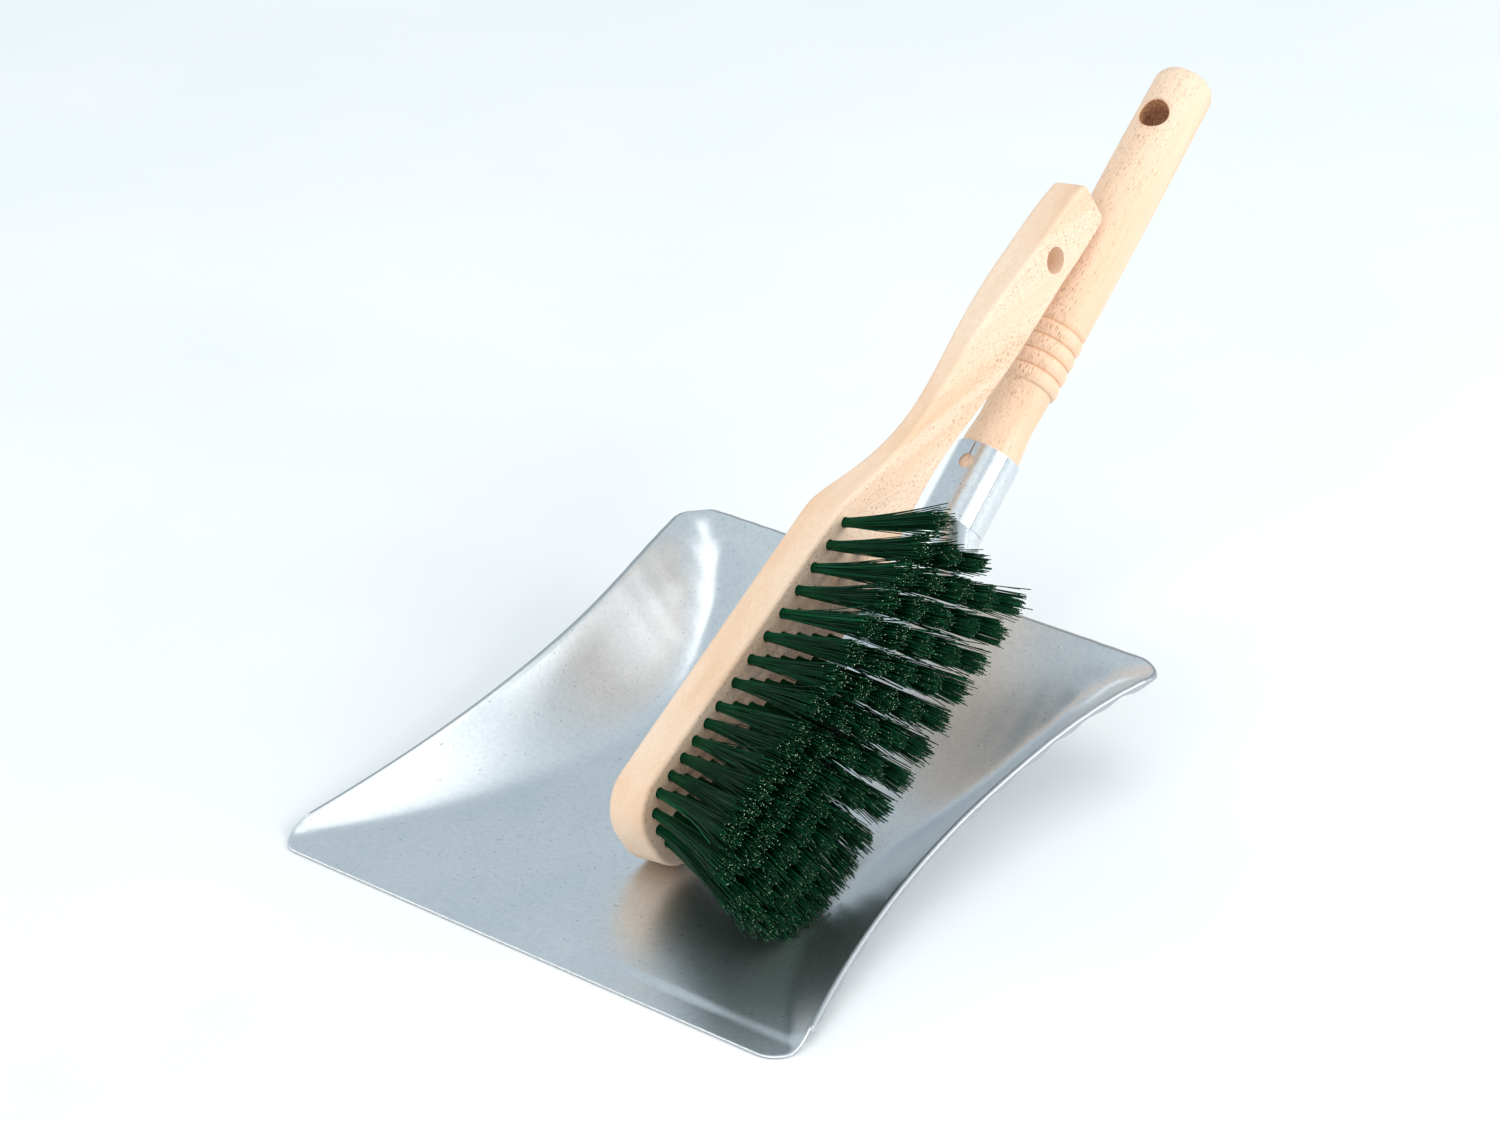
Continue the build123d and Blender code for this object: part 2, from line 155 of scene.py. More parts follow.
# ------------------------------------------------------------ node graphs
class Graph:
    """A node material with a Principled shader."""

    def __init__(self, name):
        self.material = bpy.data.materials.new(name)
        self.material.use_nodes = True
        self.tree = self.material.node_tree
        self.tree.nodes.clear()
        self.shader = self.tree.nodes.new("ShaderNodeBsdfPrincipled")
        output = self.tree.nodes.new("ShaderNodeOutputMaterial")
        self.tree.links.new(self.shader.outputs["BSDF"], output.inputs["Surface"])
        place = self.tree.nodes.new("ShaderNodeTexCoord")
        self.object_point = place.outputs["Object"]
        self.object_normal = place.outputs["Normal"]

    def feed(self, socket, value):
        if isinstance(value, bpy.types.NodeSocket):
            self.tree.links.new(value, socket)
        else:
            socket.default_value = value

    def set(self, **values):
        for name, value in values.items():
            self.feed(self.shader.inputs[name.replace("_", " ")], value)

    def math(self, operation, first, second=0.0):
        node = self.tree.nodes.new("ShaderNodeMath")
        node.operation = operation
        self.feed(node.inputs[0], first)
        self.feed(node.inputs[1], second)
        return node.outputs[0]

    def scaled(self, vector, scale):
        """The vector with each of its three parts multiplied on its own."""
        node = self.tree.nodes.new("ShaderNodeVectorMath")
        node.operation = "MULTIPLY"
        self.feed(node.inputs[0], vector)
        node.inputs[1].default_value = scale
        return node.outputs[0]

    def placed(self, axes, origin):
        """Coordinates along the three axes from an origin given in millimetres."""
        turn = Matrix(axes)
        node = self.tree.nodes.new("ShaderNodeMapping")
        node.vector_type = "POINT"
        node.inputs["Rotation"].default_value = turn.to_euler("XYZ")
        node.inputs["Location"].default_value = -(turn @ (origin * MM))
        self.feed(node.inputs["Vector"], self.object_point)
        return node.outputs[0]

    def noise(self, vector, scale=1.0, detail=2.0, roughness=0.5, distortion=0.0):
        node = self.tree.nodes.new("ShaderNodeTexNoise")
        self.feed(node.inputs["Vector"], vector)
        node.inputs["Scale"].default_value = scale
        node.inputs["Detail"].default_value = detail
        node.inputs["Roughness"].default_value = roughness
        node.inputs["Distortion"].default_value = distortion
        return node.outputs["Fac"]

    def cells(self, vector, scale):
        """One random colour for each cell."""
        node = self.tree.nodes.new("ShaderNodeTexVoronoi")
        self.feed(node.inputs["Vector"], vector)
        node.inputs["Scale"].default_value = scale
        return node.outputs["Color"]

    def ramp(self, value, stops):
        """A colour ramp; a stop is a place with a colour or a grey level."""
        node = self.tree.nodes.new("ShaderNodeValToRGB")
        self.feed(node.inputs["Fac"], value)
        elements = node.color_ramp.elements
        while len(elements) < len(stops):
            elements.new(0.5)
        for element, (place, colour) in zip(elements, stops):
            element.position = place
            if isinstance(colour, float):
                colour = (colour, colour, colour)
            element.color = (*colour, 1.0)
        return node.outputs["Color"]

    def mix(self, share, first, second, mode="MIX"):
        node = self.tree.nodes.new("ShaderNodeMix")
        node.data_type = "RGBA"
        node.blend_type = mode
        self.feed(node.inputs["Factor"], share)
        self.feed(node.inputs["A"], first if isinstance(first, bpy.types.NodeSocket) else (*first, 1.0))
        self.feed(node.inputs["B"], second if isinstance(second, bpy.types.NodeSocket) else (*second, 1.0))
        return node.outputs["Result"]

    def bump(self, height, distance, strength=1.0, below=None):
        """Relief of the given depth in millimetres, on top of another bump where below is given."""
        node = self.tree.nodes.new("ShaderNodeBump")
        node.inputs["Strength"].default_value = strength
        node.inputs["Distance"].default_value = distance * MM
        self.feed(node.inputs["Height"], height)
        if below is not None:
            self.feed(node.inputs["Normal"], below)
        return node.outputs["Normal"]


def srgb(red, green, blue):
    """Linear colour from 0-255 sRGB numbers."""
    values = []
    for channel in (red, green, blue):
        share = channel / 255
        values.append(share / 12.92 if share <= 0.04045 else ((share + 0.055) / 1.055) ** 2.4)
    return tuple(values)


# ------------------------------------------------------------ materials
def beech_grain(g, local):
    """Colour of the growth bands under fine fibres, and the fibres themselves."""
    bands = g.noise(g.scaled(local, (85.0, 4.5, 60.0)), detail=3.0, distortion=0.5)
    base = g.ramp(bands, [
        (0.30, srgb(236, 198, 165)),
        (0.50, srgb(244, 212, 184)),
        (0.70, srgb(248, 222, 198)),
    ])
    fibres = g.noise(g.scaled(local, (1700.0, 30.0, 1700.0)), detail=3.0, roughness=0.65)
    return g.mix(g.ramp(fibres, [(0.36, 0.0), (0.66, 0.30)]), base, srgb(220, 176, 140)), fibres


def beech_flecks(g, local, tangential, facing):
    """Mask of the rays, which end on the tangential face as short dashes along the grain."""
    flecks = g.noise(g.scaled(local, (4600.0, 480.0, 60.0)), detail=1.0, roughness=0.4)
    patches = g.noise(g.scaled(local, (70.0, 22.0, 20.0)), detail=1.0)
    density = g.math("MULTIPLY", g.math("SUBTRACT", patches, 0.5), 0.22)
    dashes = g.ramp(g.math("ADD", flecks, density), [(0.63, 0.0), (0.69, 0.85)])
    normal = g.tree.nodes.new("ShaderNodeVectorMath")
    normal.operation = "DOT_PRODUCT"
    g.feed(normal.inputs[0], g.object_normal)
    normal.inputs[1].default_value = tangential
    squareness = g.math("ABSOLUTE", normal.outputs["Value"])
    return g.math("MULTIPLY", dashes, g.ramp(squareness, [(facing[0], 0.04), (facing[1], 1.0)]))


def beech_cuts(g, base, local, hole_at, hole_radius, end_at, bore_tone_and_shade):
    """Darker colour just round the drilled hole and towards the end grain; inside the hole, darker end
    grain with painted shade.
    """
    parts = g.tree.nodes.new("ShaderNodeSeparateXYZ")
    g.feed(parts.inputs[0], local)
    along_grain = parts.outputs["Y"]
    across_grain = parts.outputs["X"]
    from_hole = g.math("SUBTRACT", along_grain, hole_at * MM)
    along_squared = g.math("MULTIPLY", from_hole, from_hole)
    across_squared = g.math("MULTIPLY", across_grain, across_grain)
    distance = g.math("SQRT", g.math("ADD", along_squared, across_squared))
    hole_share = g.math("MULTIPLY", distance, 1 / (hole_radius * 1.6 * MM))
    near_hole = g.ramp(hole_share, [(0.62, 0.40), (0.74, 0.0)])
    base = g.mix(near_hole, base, srgb(196, 142, 102))
    # inside the bore: end grain darkened further with painted shade
    bore_grain = g.noise(g.scaled(local, (2600.0, 260.0, 900.0)), detail=2.0)
    bore = g.ramp(bore_grain, [(0.35, bore_tone_and_shade[0]), (0.65, bore_tone_and_shade[1])])
    base = g.mix(g.math("LESS_THAN", distance, (hole_radius + 0.12) * MM), base, bore)
    from_end = g.math("SUBTRACT", end_at * MM, along_grain)
    at_end = g.ramp(g.math("MULTIPLY", from_end, 1 / (1.4 * MM)), [(0.0, 0.5), (1.0, 0.0)])
    return g.mix(at_end, base, srgb(214, 170, 134))


def beech(name, axes, origin, hole_at, hole_radius, end_at, facing, bore_tone_and_shade):
    """Fine sanded beech: soft growth bands, fibres, short brown ray flecks and darker cut faces, with
    painted shade inside the drilled hole.

    axes are the piece's own directions: across, along the grain, and square to the face with the flecks.
    facing gives how square to that face a surface must be to start showing flecks, and to show them fully.
    """
    g = Graph(name)
    local = g.placed(axes, origin)
    base, fibres = beech_grain(g, local)
    flecks = beech_flecks(g, local, axes[2], facing)
    base = g.mix(flecks, base, srgb(168, 114, 82))
    base = beech_cuts(g, base, local, hole_at, hole_radius, end_at, bore_tone_and_shade)
    relief = g.math("SUBTRACT", g.math("MULTIPLY", fibres, 0.5), g.math("MULTIPLY", flecks, 0.8))
    g.set(
        Base_Color=base,
        Roughness=g.math("ADD", g.math("MULTIPLY", fibres, 0.22), 0.50),
        Specular_IOR_Level=0.25,
        Normal=g.bump(relief, 0.05, 0.35),
    )
    return g.material


def galvanised(name, low_rough, high_rough, painted_shade=0.0):
    """Zinc-coated steel: a fine faint spangle, soft mottling, light scuffs and tiny dark specks.

    The last argument is the share of dark grey mixed in for the outside of the sheet: painted shade, on top
    of its duller finish.
    """
    g = Graph(name)
    point = g.object_point
    clouds = g.noise(point, scale=22.0, detail=3.0, roughness=0.55)
    mottle = g.noise(point, scale=620.0, detail=3.0, roughness=0.65)
    grey_cells = g.ramp(g.cells(point, 520.0), [(0.0, 0.0), (1.0, 1.0)])
    base = g.ramp(clouds, [(0.32, srgb(220, 226, 230)), (0.68, srgb(230, 233, 235))])
    base = g.mix(0.05, base, grey_cells, "OVERLAY")
    base = g.mix(g.ramp(mottle, [(0.36, 0.20), (0.58, 0.0)]), base, srgb(176, 187, 196))
    speck_seed = g.noise(point, scale=1150.0, detail=0.0)
    specks = g.ramp(speck_seed, [(0.80, 0.0), (0.84, 0.55)])
    base = g.mix(specks, base, srgb(104, 112, 118))
    # dark grey mixed into the colour: painted shade
    if painted_shade:
        base = g.mix(painted_shade, base, srgb(84, 84, 88))
    scuffs = g.noise(g.scaled(point, (70.0, 1300.0, 500.0)), detail=2.0, distortion=1.0)
    scuff_mask = g.ramp(scuffs, [(0.68, 0.0), (0.78, 0.5)])
    roughness = g.math("ADD", g.math("MULTIPLY", clouds, high_rough - low_rough), low_rough)
    roughness = g.math("ADD", roughness, g.math("MULTIPLY", mottle, 0.04))
    roughness = g.math("ADD", roughness, g.math("MULTIPLY", scuff_mask, 0.08))
    fine = g.bump(mottle, 0.010, 0.45)
    coarse = g.bump(clouds, 0.20, 0.04, below=fine)
    g.set(Base_Color=base, Metallic=1.0, Roughness=roughness, Normal=coarse)
    return g.material


def cut_edge_steel():
    """Sheared edge of the sheet: bare metal with faint drag lines, painted near-white and part diffuse, a
    painted highlight along the edge.
    """
    g = Graph("steel_cut_edge")
    drag = g.noise(g.scaled(g.object_point, (400.0, 400.0, 2600.0)), detail=3.0)
    # near-white colour: painted highlight along the edge
    base = g.ramp(drag, [(0.3, srgb(214, 217, 219)), (0.7, srgb(248, 248, 247))])
    g.set(Base_Color=base, Metallic=0.75, Roughness=g.math("ADD", g.math("MULTIPLY", drag, 0.2), 0.3),
          Normal=g.bump(drag, 0.02, 0.4))
    return g.material


def wire_steel():
    """Drawn anchor wire."""
    g = Graph("anchor_wire_steel")
    draw = g.noise(g.scaled(g.object_point, (300.0, 300.0, 4000.0)), detail=3.0)
    base = g.ramp(draw, [(0.3, srgb(150, 152, 154)), (0.7, srgb(206, 207, 208))])
    g.set(Base_Color=base, Metallic=1.0, Roughness=g.math("ADD", g.math("MULTIPLY", draw, 0.2), 0.25),
          Normal=g.bump(draw, 0.01, 0.5))
    return g.material


def bristle_plastic():
    """Extruded filament: bottle green with its own shade for each filament."""
    g = Graph("bristle_filament")
    attribute = g.tree.nodes.new("ShaderNodeAttribute")
    attribute.attribute_name = "filament"
    parts = g.tree.nodes.new("ShaderNodeSeparateColor")
    g.feed(parts.inputs[0], attribute.outputs["Color"])
    shade, place = parts.outputs[0], parts.outputs[1]
    base = g.ramp(shade, [
        (0.0, srgb(0, 44, 22)),
        (0.55, srgb(0, 64, 36)),
        (0.86, srgb(0, 92, 56)),
        (1.0, srgb(36, 138, 92)),
    ])
    # lighter green towards the roots: painted light
    root = g.ramp(place, [(0.0, 0.5), (0.45, 0.0)])
    base = g.mix(root, base, srgb(16, 104, 64))
    streak = g.noise(g.object_point, scale=900.0, detail=2.0)
    base = g.mix(g.ramp(streak, [(0.35, 0.3), (0.65, 0.0)]), base, srgb(3, 30, 16))
    g.set(Base_Color=base, Roughness=g.math("ADD", g.math("MULTIPLY", streak, 0.2), 0.28),
          Specular_IOR_Level=0.12, Normal=g.bump(streak, 0.01, 0.3))
    return g.material


def bristle_cut():
    """Pale cut end of a filament."""
    g = Graph("bristle_cut_end")
    grain = g.noise(g.object_point, scale=1500.0, detail=1.0)
    base = g.ramp(grain, [(0.50, srgb(0, 48, 26)), (0.57, srgb(96, 150, 104)), (0.64, srgb(235, 246, 215))])
    g.set(Base_Color=base, Roughness=g.math("ADD", g.math("MULTIPLY", grain, 0.3), 0.4))
    return g.material


brush_wood = beech(
    "brush_beech", (brush_up, brush_along, brush_out), BRUSH_ORIGIN,
    hole_at=BRUSH_HOLE_AT, hole_radius=BRUSH_HOLE_RADIUS, end_at=BRUSH_LENGTH,
    # the brush's bore is painted near black: painted shade inside the hole
    facing=(0.80, 0.95), bore_tone_and_shade=(srgb(48, 22, 10), srgb(104, 62, 36)),
)
handle_wood = beech(
    "handle_beech", (Vector((1, 0, 0)), handle_axis, handle_top), SOCKET_RIM,
    hole_at=PAN_HOLE_AT, hole_radius=PAN_HOLE_RADIUS, end_at=HANDLE_LENGTH,
    # the handle's bore: darker end grain, partly painted shade
    facing=(0.30, 0.95), bore_tone_and_shade=(srgb(150, 98, 64), srgb(216, 166, 126)),
)
pan_steel = galvanised("pan_galvanised_steel", 0.29, 0.35)
socket_steel = galvanised("socket_galvanised_steel", 0.20, 0.27)
# outside of the sheet, its curl and hanging hem: rougher, with dark grey painted shade
shaded_outside_steel = galvanised("shaded_outside_galvanised_steel", 0.40, 0.46, painted_shade=0.42)
edge_steel = cut_edge_steel()
anchor_steel = wire_steel()
bristle_material = bristle_plastic()
bristle_end_material = bristle_cut()

# the materials of the pan's sheet, and which faces take them
sheet_steels = [pan_steel, edge_steel, shaded_outside_steel]
INSIDE, CUT_EDGE, OUTSIDE = range(3)


# ------------------------------------------------------------ pieces
def dress(node, material):
    """Gives a CAD node a material on its own slots."""
    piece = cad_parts[node]
    if not piece.material_slots:
        piece.data.materials.append(material)
    for slot in piece.material_slots:
        slot.material = material


def add_piece(name, vertices, faces, marks, materials, body, slot):
    """A smooth mesh piece in millimetres that rides on a body; marks number each face's material."""
    mesh = bpy.data.meshes.new(name)
    mesh.from_pydata((np.asarray(vertices) * MM).tolist(), [], faces)
    for material in materials:
        mesh.materials.append(material)
    mesh.polygons.foreach_set("use_smooth", [True] * len(mesh.polygons))
    mesh.polygons.foreach_set("material_index", marks)
    mesh.update()
    piece = bpy.data.objects.new(name, mesh)
    bpy.context.scene.collection.objects.link(piece)
    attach(piece, body)
    return piece


def unit(vectors):
    return vectors / np.linalg.norm(vectors, axis=-1, keepdims=True)


# ------------------------------------------------------------ pan surface
def soft_ramp(value, softness):
    """Zero below 0 and equal to the value above it, with a rounded turn between."""
    return 0.5 * (value + np.sqrt(value * value + softness * softness))


def smooth_step(value):
    value = np.clip(value, 0.0, 1.0)
    return value * value * (3 - 2 * value)


def half_width(t):
    return FRONT_HALF_WIDTH * (1 - t) ** 2 + 2 * WAIST_CONTROL * t * (1 - t) + BACK_HALF_WIDTH * t * t


def walls(t, s):
    """Height of the side walls and the back wall, blended where they meet."""
    crease = np.minimum(CREASE_AT + CREASE_BOW * (t - CREASE_MIDDLE) ** 2, CREASE_LIMIT)
    side_height = RIM_HEIGHT * (SIDE_SLOPE * t - SIDE_BOW * t * t)
    side = side_height * soft_ramp((np.abs(s) - crease) / (1 - crease), CREASE_SOFTNESS) ** SIDE_CURL
    back = RIM_HEIGHT * soft_ramp((t - SCOOP_START) / (1 - SCOOP_START), SCOOP_SOFTNESS) ** 2
    return RIM_HEIGHT * (1 - (1 - side / RIM_HEIGHT) * (1 - back / RIM_HEIGHT))


def press_marks(x, y, t, s):
    """Ripples down the side walls and along the back wall, growing towards the back corners."""
    on_side = smooth_step((np.abs(s) - 0.58) / 0.22) * smooth_step((t - 0.55) / 0.3)
    on_back = smooth_step((t - 0.72) / 0.15) * smooth_step((np.abs(s) - 0.45) / 0.3)
    side_phase = 2 * np.pi * y / RIPPLE_PITCH + 2.1 * np.sin(y / 19.0)
    side = on_side ** 3 * np.sin(side_phase) * (0.7 + 0.3 * np.sin(y / 9.0))
    back = 0.7 * on_back * np.sin(2 * np.pi * x / (RIPPLE_PITCH * 0.9))
    return RIPPLE * (side + back)


def pan_top(x, y):
    """Height of the pan's upper surface, in millimetres."""
    from_front = y + PAN_CENTRE
    t = from_front / PAN_LENGTH
    s = x / half_width(t)
    rib = RIB_HEIGHT * smooth_step((t - RIB_START) / RIB_RUN) * np.exp(-((x / RIB_WIDTH) ** 2))
    lip = LIP_RISE * smooth_step((from_front - LIP_DEPTH) / LIP_BEND + 0.5)
    unevenness = np.sin(x / 27.0 + 0.4) * np.sin(y / 33.0 + 1.1) + 1.0
    warp = WARP * unevenness * smooth_step(from_front / 40.0)
    return FLOOR_TOP + walls(t, s) + rib + lip + press_marks(x, y, t, s) + warp


def pan_normal(x, y):
    step = 0.2
    dx = (pan_top(x + step, y) - pan_top(x - step, y)) / (2 * step)
    dy = (pan_top(x, y + step) - pan_top(x, y - step)) / (2 * step)
    return unit(np.stack([-dx, -dy, np.ones_like(dx)], axis=-1))


def corner(slope, radius, half):
    """Centre across and end of a rounded corner against a side that slopes inwards."""
    lean = math.sqrt(1 + slope * slope)
    centre = half - slope * radius - radius * lean
    reach = radius + radius * slope / lean
    return centre, reach


front_slope = 2 * (FRONT_HALF_WIDTH - WAIST_CONTROL) / PAN_LENGTH
back_slope = 2 * (BACK_HALF_WIDTH - WAIST_CONTROL) / PAN_LENGTH
front_centre, front_reach = corner(front_slope, FRONT_CORNER, FRONT_HALF_WIDTH)
back_centre, back_reach = corner(back_slope, BACK_CORNER, BACK_HALF_WIDTH)
front_y = -PAN_CENTRE
back_y = PAN_LENGTH - PAN_CENTRE


def outline_half(y):
    """Half width of the rounded outline at y."""
    from_front = y - front_y
    from_back = back_y - y
    if from_front < front_reach:
        rise = FRONT_CORNER - from_front
        return front_centre + math.sqrt(max(FRONT_CORNER ** 2 - rise ** 2, 0.0))
    if from_back < back_reach:
        rise = BACK_CORNER - from_back
        return back_centre + math.sqrt(max(BACK_CORNER ** 2 - rise ** 2, 0.0))
    return float(half_width((y + PAN_CENTRE) / PAN_LENGTH))


def outline_rows():
    """Places along the pan, close together in the rounded corners."""
    rows = [front_y + FRONT_CORNER * (1 - math.cos(a)) for a in np.linspace(0, math.pi / 2, 15)]
    rows += list(np.linspace(front_y + FRONT_CORNER, back_y - BACK_CORNER, 136)[1:])
    rows += [back_y - BACK_CORNER * (1 - math.cos(a)) for a in np.linspace(math.pi / 2, 0, 13)[1:]]
    return rows


# ------------------------------------------------------------ pan sheet
ACROSS = 150                     # faces across the sheet
EDGE_STEPS = 4                   # faces round the sheet's edge


def sheet_grid():
    """Where the sheet's grid points are in plan: rows from front to back, each from left to right."""
    shrink = (PAN_LENGTH - 2 * RIM_ROUND) / PAN_LENGTH
    middle_y = (front_y + back_y) / 2
    xs = []
    ys = []
    for y in outline_rows():
        half = outline_half(y) - RIM_ROUND
        xs.append(np.linspace(-half, half, ACROSS + 1))
        ys.append(np.full(ACROSS + 1, middle_y + (y - middle_y) * shrink))
    return np.array(xs), np.array(ys)


def grid_edge(rows, columns):
    """Row and column numbers of the grid's outer points, in order round the edge."""
    last_row = rows - 1
    last_column = columns - 1
    edge = [(0, i) for i in range(last_column)]
    edge += [(j, last_column) for j in range(last_row)]
    edge += [(last_row, i) for i in range(last_column, 0, -1)]
    edge += [(j, 0) for j in range(last_row, 0, -1)]
    return edge


def edge_round(rim_top, rim_normal):
    """Points round the sheet's edge between its upper and lower surfaces, one array for each step."""
    along = np.roll(rim_top, -1, axis=0) - np.roll(rim_top, 1, axis=0)
    outward = unit(np.cross(along, rim_normal))
    rings = []
    for k in range(1, EDGE_STEPS):
        angle = math.pi / 2 - math.pi * k / EDGE_STEPS
        place = rim_top - rim_normal * RIM_ROUND
        place = place + outward * RIM_ROUND * math.cos(angle) + rim_normal * RIM_ROUND * math.sin(angle)
        place[:, 2] = np.maximum(place[:, 2], 0.0)
        rings.append(place)
    return rings


def build_sheet():
    """The pressed sheet: an upper and a lower surface joined by a rounded edge."""
    x, y = sheet_grid()
    rows, columns = x.shape
    top = np.stack([x, y, pan_top(x, y)], axis=-1)
    normal = pan_normal(x, y)
    bottom = top - normal * SHEET
    bottom[..., 2] = np.maximum(bottom[..., 2], 0.0)
    edge = grid_edge(rows, columns)
    rings = edge_round(np.array([top[j, i] for j, i in edge]), np.array([normal[j, i] for j, i in edge]))
    vertices = [top.reshape(-1, 3), bottom.reshape(-1, 3)] + rings
    per_surface = rows * columns
    faces = []
    marks = []
    for j in range(rows - 1):
        for i in range(columns - 1):
            a = j * columns + i
            b = per_surface + a
            faces.append((a, a + 1, a + columns + 1, a + columns))
            faces.append((b, b + columns, b + columns + 1, b + 1))
            marks += [INSIDE, OUTSIDE]
    length = len(edge)
    upper_edge = [j * columns + i for j, i in edge]
    loops = [upper_edge]
    for k in range(EDGE_STEPS - 1):
        loops.append([2 * per_surface + k * length + n for n in range(length)])
    loops.append([per_surface + n for n in upper_edge])
    for upper, lower in zip(loops, loops[1:]):
        for n in range(length):
            m = (n + 1) % length
            faces.append((upper[n], lower[n], lower[m], upper[m]))
            marks.append(CUT_EDGE)
    return np.concatenate(vertices), faces, marks


sheet_piece = add_piece("pressed_sheet", *build_sheet(), sheet_steels, "pan", "galvanised_steel")
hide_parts("pan_sheet")


# ------------------------------------------------------------ hem
CURL_STEPS = 9
DROP_STEPS = 6


def rim_line(side):
    """The rim from behind the front corner, round the back corner, to beside the socket's tongue.

    Each row holds a point's x and y and the two parts of its outward direction.
    """
    places = []
    for y in np.arange(front_y + HEM_START, back_y - back_reach, 1.3):
        t = (y + PAN_CENTRE) / PAN_LENGTH
        slope = (half_width(t + 0.001) - half_width(t - 0.001)) / (0.002 * PAN_LENGTH)
        out = Vector((1.0, -slope)).normalized()
        places.append((half_width(t), y, out.x, out.y))
    for angle in np.linspace(-math.atan(back_slope), math.pi / 2, 22):
        places.append((
            back_centre + BACK_CORNER * math.cos(angle),
            back_y - BACK_CORNER + BACK_CORNER * math.sin(angle),
            math.cos(angle),
            math.sin(angle),
        ))
    for x in np.arange(back_centre - 1.5, HEM_TONGUE_CLEARANCE, -1.5):
        places.append((x, back_y, 0.0, 1.0))
    line = np.array(places)
    line[:, 0] *= side
    line[:, 2] *= side
    return line


def hem_wave(run, side):
    """How far the raw edge waves up or down, from -1 to 1, at each distance along the rim."""
    phase = 2 * np.pi * HEM_WAVES * run / PAN_LENGTH
    return np.sin(phase + 0.9 * np.sin(run / 31.0)) * (0.75 + 0.25 * np.sin(run / 17.0 + side))


def hem_section(side):
    """Lines of points along the hem, in order round its cross-section, and which faces are its raw edge."""
    line = rim_line(side)
    rim = line[:, :2] - line[:, 2:] * RIM_ROUND
    out = np.column_stack([line[:, 2:], np.zeros(len(line))])
    run = np.concatenate([[0.0], np.cumsum(np.linalg.norm(np.diff(rim, axis=0), axis=1))])
    wave = hem_wave(run, side)
    top = np.column_stack([rim, pan_top(rim[:, 0], rim[:, 1])])
    room = top[:, 2] - 2 * CURL_RADIUS - HEM_FLOOR_GAP
    drop = np.maximum(np.minimum(HEM_DROP + HEM_WAVE * wave, room), HEM_LEAST_DROP)
    drop = drop * smooth_step((run + HEM_FADE_LEAD) / HEM_FADE)
    normal = pan_normal(rim[:, 0], rim[:, 1])
    outward = unit(np.cross(np.gradient(top, axis=0), normal))
    outward *= np.sign(np.sum(outward * out, axis=1))[:, None]

    # the curl turns over the rim until it points straight down
    last_turn = np.arctan2(-outward[:, 2], normal[:, 2])
    centre = top - normal * CURL_RADIUS
    outer = []
    inner = []
    for k in range(CURL_STEPS + 1):
        angle = (math.pi / 2 + (last_turn - math.pi / 2) * k / CURL_STEPS)[:, None]
        direction = outward * np.cos(angle) + normal * np.sin(angle)
        outer.append(centre + direction * CURL_RADIUS)
        inner.append(centre + direction * (CURL_RADIUS - SHEET))
    outer_start = outer[-1]
    inner_start = inner[-1]
    down = outward * np.sin(last_turn)[:, None] - normal * np.cos(last_turn)[:, None]
    for k in range(1, DROP_STEPS + 1):
        part = k / DROP_STEPS
        flare = out * (HEM_FLARE + HEM_FLARE_WAVE * wave)[:, None] * part ** 1.5
        outer.append(outer_start + down * (drop * part)[:, None] + flare)
        inner.append(inner_start + down * (drop * part)[:, None] + flare)

    # the raw edge is slightly rounded
    ahead = unit(outer[-1] - outer[-2]) * SHEET
    across = inner[-1] - outer[-1]
    middle = (inner[-1] + outer[-1]) / 2
    raw_edge = [
        middle - across * 0.35 + ahead * 0.3,
        middle + ahead * 0.45,
        middle + across * 0.35 + ahead * 0.3,
    ]
    raw_first = len(outer) - 1
    return outer + raw_edge + inner[::-1], range(raw_first, raw_first + len(raw_edge) + 1)


def build_hem(side):
    """The margin curled over the rim and hanging down outside the walls, with its wavy raw edge."""
    section, raw_edge = hem_section(side)
    ring = len(section)
    stations = len(section[0])
    vertices = np.stack(section, axis=1).reshape(-1, 3)
    vertices[:, 2] = np.maximum(vertices[:, 2], 0.0)
    faces = []
    marks = []
    for j in range(stations - 1):
        for i in range(ring):
            k = (i + 1) % ring
            faces.append((j * ring + i, j * ring + k, (j + 1) * ring + k, (j + 1) * ring + i))
            marks.append(CUT_EDGE if i in raw_edge else OUTSIDE)
    faces.append(tuple(range(ring - 1, -1, -1)))
    faces.append(tuple((stations - 1) * ring + i for i in range(ring)))
    marks += [CUT_EDGE, CUT_EDGE]
    if side < 0:
        faces = [face[::-1] for face in faces]
    return vertices, faces, marks


for side, label, node in ((1, "fold_right", "hem_right"), (-1, "fold_left", "hem_left")):
    hem_piece = add_piece(label, *build_hem(side), sheet_steels, "pan", "galvanised_steel")
    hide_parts(node)

# ------------------------------------------------------------ CAD nodes that stay
dress("handle_socket", socket_steel)
dress("pan_handle", handle_wood)
dress("brush_block", brush_wood)
for node_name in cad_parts:
    if node_name.startswith("anchors"):
        dress(node_name, anchor_steel)

# ------------------------------------------------------------ bristles
along_axis = np.array(brush_along)
up_axis = np.array(brush_up)
out_axis = np.array(brush_out)
brush_start = np.array(BRUSH_ORIGIN)


def brush_point(along, across, height):
    return brush_start + along_axis * along + up_axis * across + out_axis * height


def tip_centre(along, across):
    """Middle of a tuft's tip: it flares outwards, and the pan's floor pushes the lowest ones up."""
    tip_along = along * (COLUMN_SPREAD + SPREAD_SLOPE * across) + TIP_SHIFT + SHIFT_SLOPE * across
    tip_across = across * (1 + ROW_FLARE)
    tip = brush_point(tip_along, tip_across, BRISTLE_LENGTH)
    if tip[2] >= FREE_HEIGHT:
        return tip
    edge_row = -(ROW_COUNT - 1) / 2 * ROW_PITCH * (1 + ROW_FLARE)
    lowest = min(brush_point(tip_along, edge_row, BRISTLE_LENGTH)[2], TIP_CLEARANCE)
    share = (tip[2] - lowest) / (FREE_HEIGHT - lowest)
    tip[2] = TIP_CLEARANCE + share * (FREE_HEIGHT - TIP_CLEARANCE)
    return tip


